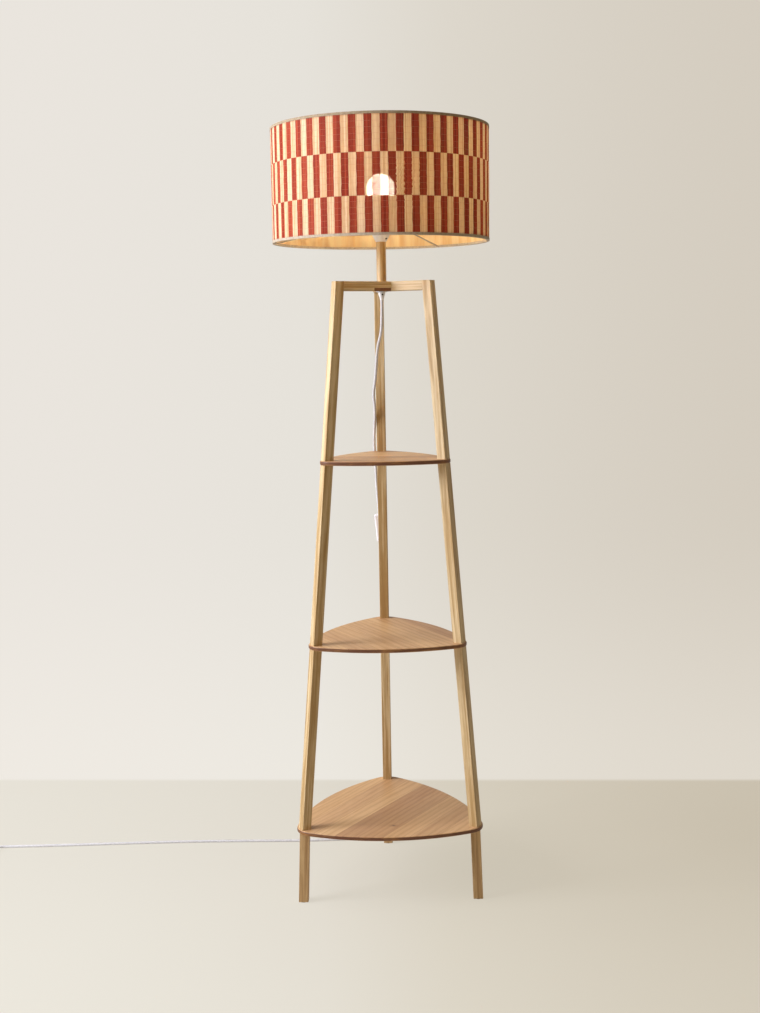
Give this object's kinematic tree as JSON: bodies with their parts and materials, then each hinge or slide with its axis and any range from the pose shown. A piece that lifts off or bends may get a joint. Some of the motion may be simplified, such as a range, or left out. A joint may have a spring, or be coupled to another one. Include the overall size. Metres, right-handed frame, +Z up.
{
  "type": "shelf floor lamp",
  "caption": "Wooden tripod floor lamp with round woven drum shade, three rounded triangular shelves between splayed legs, cord with in-line switch.",
  "frame": {"origin": "on the floor, under the axis of the pole and shade", "axes": "+Z up along the pole; -Y is the front, towards the camera; +X is to the camera's right"},
  "size_m": [1.3257, 0.4623, 1.615],
  "materials": {
    "frame_wood": "satin oiled solid wood, fine straight grain",
    "foot_wood": "satin oiled solid wood, square bar",
    "dowel_wood": "plain beech",
    "shelf_wood": "satin oiled edge-glued board",
    "glide_plastic": "matte",
    "stud_steel": "zinc plated",
    "insert_brass": "turned",
    "zinc_steel": "zinc plated",
    "dark_screw": "black oxide",
    "holder_plastic": "smooth moulded white",
    "core_ceramic": "unglazed",
    "contact_brass": "pressed sheet",
    "shade_fabric": "woven paper strips and threads in a check of two tones, lets light through",
    "tape_fabric": "narrow glued tape",
    "wire_paint": "white powder coat",
    "bulb_glow": "opal frosted, lit",
    "bulb_plastic": "fine matte",
    "cap_metal": "rolled sheet",
    "switch_plastic": "smooth moulded white",
    "rocker_plastic": "smooth moulded white",
    "cord_jacket": "soft white jacket",
    "tie_plastic": "flat band",
    "plug_plastic": "soft moulded white",
    "pin_nickel": "nickel plated"
  },
  "bodies": {
    "stand": {"arm_dowels": "dowel_wood", "arm_left": "frame_wood", "arm_rear": "frame_wood", "arm_right": "frame_wood", "bottom_shelf": "shelf_wood", "centre_contact": "contact_brass", "clamp_ring": "holder_plastic", "cord_coil": "cord_jacket", "cord_gland": "holder_plastic", "cord_lower": "cord_jacket", "cord_tie": "tie_plastic", "cord_upper": "cord_jacket", "foot_glides": "glide_plastic", "foot_left": "foot_wood", "foot_rear": "foot_wood", "foot_right": "foot_wood", "gland_screw": "dark_screw", "holder_cap": "holder_plastic", "holder_core": "core_ceramic", "holder_set_screw": "dark_screw", "holder_shell": "holder_plastic", "hub_nut": "zinc_steel", "hub_washer": "zinc_steel", "inner_cord": "cord_jacket", "leg_inserts": "insert_brass", "leg_studs": "stud_steel", "lower_leg_left": "frame_wood", "lower_leg_rear": "frame_wood", "lower_leg_right": "frame_wood", "middle_leg_left": "frame_wood", "middle_leg_rear": "frame_wood", "middle_leg_right": "frame_wood", "middle_shelf": "shelf_wood", "plug_body": "plug_plastic", "plug_pins": "pin_nickel", "plug_relief": "plug_plastic", "pole": "frame_wood", "switch_contacts": "contact_brass", "switch_lower_shell": "switch_plastic", "switch_screws": "stud_steel", "switch_upper_shell": "switch_plastic", "thread_sleeve": "contact_brass", "threaded_tube": "zinc_steel", "top_shelf": "shelf_wood", "upper_leg_left": "frame_wood", "upper_leg_rear": "frame_wood", "upper_leg_right": "frame_wood"},
    "shade": {"shade_panel": "shade_fabric", "shade_top_ring": "wire_paint", "shade_bottom_ring": "wire_paint", "top_tape": "tape_fabric", "bottom_tape": "tape_fabric", "fitter_ring": "wire_paint", "shade_spokes": "wire_paint"},
    "bulb": {"bulb_contact": "cap_metal", "bulb_cap": "cap_metal", "bulb_housing": "bulb_plastic", "bulb_globe": "bulb_glow"},
    "rocker": {"switch_rocker": "rocker_plastic"}
  },
  "joints": [
    {"name": "shade_turn", "type": "hinge", "parent": "stand", "child": "shade", "pos_m": [0, 0, 1.43005], "axis": [0, 0, 1], "continuous": true},
    {"name": "bulb_turn", "type": "hinge", "parent": "stand", "child": "bulb", "pos_m": [0, 0, 1.43], "axis": [0, 0, 1], "range_deg": [0, 360]},
    {"name": "rocker_tilt", "type": "hinge", "parent": "stand", "child": "rocker", "pos_m": [-0.0156, 0.17843, 0.76032], "axis": [0.9956, -0.0084, 0.0938], "range_deg": [-15, 0]}
  ]
}
